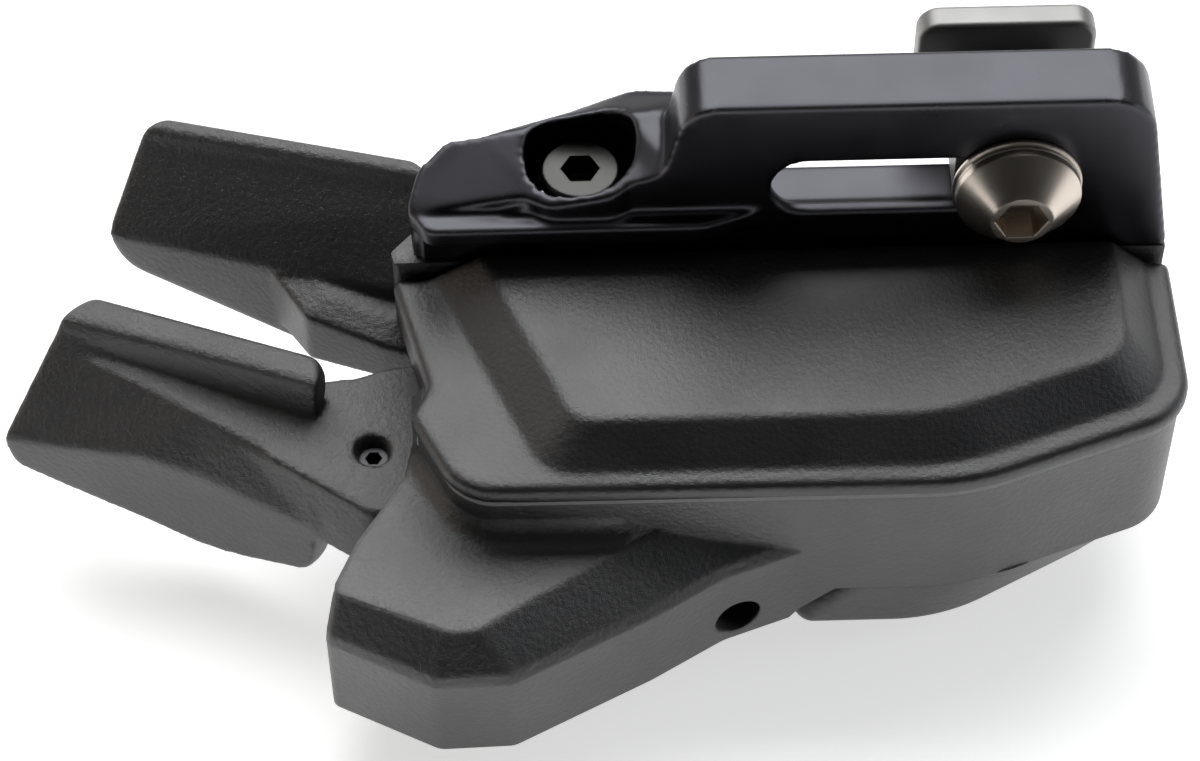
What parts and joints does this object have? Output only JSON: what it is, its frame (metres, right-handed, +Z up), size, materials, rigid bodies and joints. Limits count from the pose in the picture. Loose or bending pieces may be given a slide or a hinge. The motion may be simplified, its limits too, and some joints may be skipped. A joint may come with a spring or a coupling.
{
  "type": "trigger gear shifter",
  "caption": "Wireless trigger gear shifter with two thumb levers, a moulded housing with a raised lid and a front block, and a slotted clamp bracket.",
  "frame": {"origin": "on the clamp bolt's axis, in the plane of the bracket wall's rear face where the brake clamp bears", "axes": "+X along the handlebar, away from the levers; +Y along the clamp bolt towards the handlebar; +Z up from the lid"},
  "size_m": [0.1025, 0.0535, 0.0415],
  "materials": {
    "housing_plastic": "moulded glass-filled nylon, fine leather grain",
    "cover_plastic": "moulded glass-filled nylon, fine leather grain",
    "lever_plastic": "moulded glass-filled nylon, fine leather grain",
    "seal_rubber": "moulded silicone, matt",
    "screw_steel": "black oxide",
    "bracket_screw_steel": "matt zinc",
    "pin_steel": "ground",
    "bushing_bronze": "sintered",
    "spring_steel": "drawn wire",
    "carrier_aluminium": "machined",
    "bracket_aluminium": "bead blasted, dark grey anodised",
    "clamp_steel": "turned stainless, satin",
    "nut_aluminium": "machined, satin",
    "cell_steel": "pressed, bright",
    "contact_metal": "nickel plated strip",
    "board_laminate": "solder mask",
    "radio_can": "tinned sheet",
    "chip_epoxy": "moulded epoxy",
    "flex_film": "polyimide film",
    "switch_plastic": "moulded",
    "plunger_plastic": "moulded acetal"
  },
  "bodies": {
    "housing": {"battery_contact_negative": "contact_metal", "battery_contact_positive": "contact_metal", "battery_cover": "housing_plastic", "battery_cover_screws": "screw_steel", "battery_cover_seal": "seal_rubber", "bracket_rear_screw": "screw_steel", "bracket_screw": "bracket_screw_steel", "circuit_board": "board_laminate", "coin_cell": "cell_steel", "control_chip": "chip_epoxy", "cover_gasket": "seal_rubber", "cover_screws": "screw_steel", "main_housing": "housing_plastic", "main_pivot_pin": "pin_steel", "main_plunger_seal": "seal_rubber", "main_return_spring": "spring_steel", "main_switch": "switch_plastic", "mount_bracket": "bracket_aluminium", "radio_module": "radio_can", "release_pivot_pin": "pin_steel", "release_plunger_seal": "seal_rubber", "release_return_spring": "spring_steel", "release_switch": "switch_plastic", "switch_board": "board_laminate", "switch_flex": "flex_film", "top_cover": "cover_plastic"},
    "main_lever": {"main_lever": "lever_plastic", "main_lever_carrier": "carrier_aluminium", "lever_fixing_screw": "screw_steel", "main_lever_bushing": "bushing_bronze"},
    "release_lever": {"release_lever": "lever_plastic", "release_lever_bushing": "bushing_bronze"},
    "main_plunger": {"main_plunger": "plunger_plastic", "main_switch_button": "plunger_plastic"},
    "release_plunger": {"release_plunger": "plunger_plastic", "release_switch_button": "plunger_plastic"},
    "clamp": {"clamp_bolt": "clamp_steel", "clamp_washers": "clamp_steel", "clamp_nut": "nut_aluminium"}
  },
  "joints": [
    {"name": "main_lever_press", "type": "hinge", "parent": "housing", "child": "main_lever", "pos_m": [-0.0453, -0.02, -0.0207], "axis": [0, 0, 1], "range_deg": [-9, 0], "stiffness_Nm_per_rad": 0.3, "springref_deg": 11.46, "deforming": ["main_return_spring"]},
    {"name": "release_lever_press", "type": "hinge", "parent": "housing", "child": "release_lever", "pos_m": [-0.0438, -0.0045, -0.0207], "axis": [0, 0, 1], "range_deg": [-9, 0], "stiffness_Nm_per_rad": 0.3, "springref_deg": 11.46, "deforming": ["release_return_spring"]},
    {"name": "main_plunger_slide", "type": "slide", "parent": "housing", "child": "main_plunger", "axis": [1, 0, 0], "range_m": [0, 0.00077]},
    {"name": "release_plunger_slide", "type": "slide", "parent": "housing", "child": "release_plunger", "axis": [1, 0, 0], "range_m": [0, 0.00059]},
    {"name": "clamp_slide", "type": "slide", "parent": "housing", "child": "clamp", "axis": [1, 0, 0], "range_m": [-0.017, 0.001]}
  ],
  "couplings": [
    {"joint": "main_plunger_slide", "follows": "main_lever_press", "m_per_rad": -0.00479},
    {"joint": "release_plunger_slide", "follows": "release_lever_press", "m_per_rad": -0.00366}
  ]
}
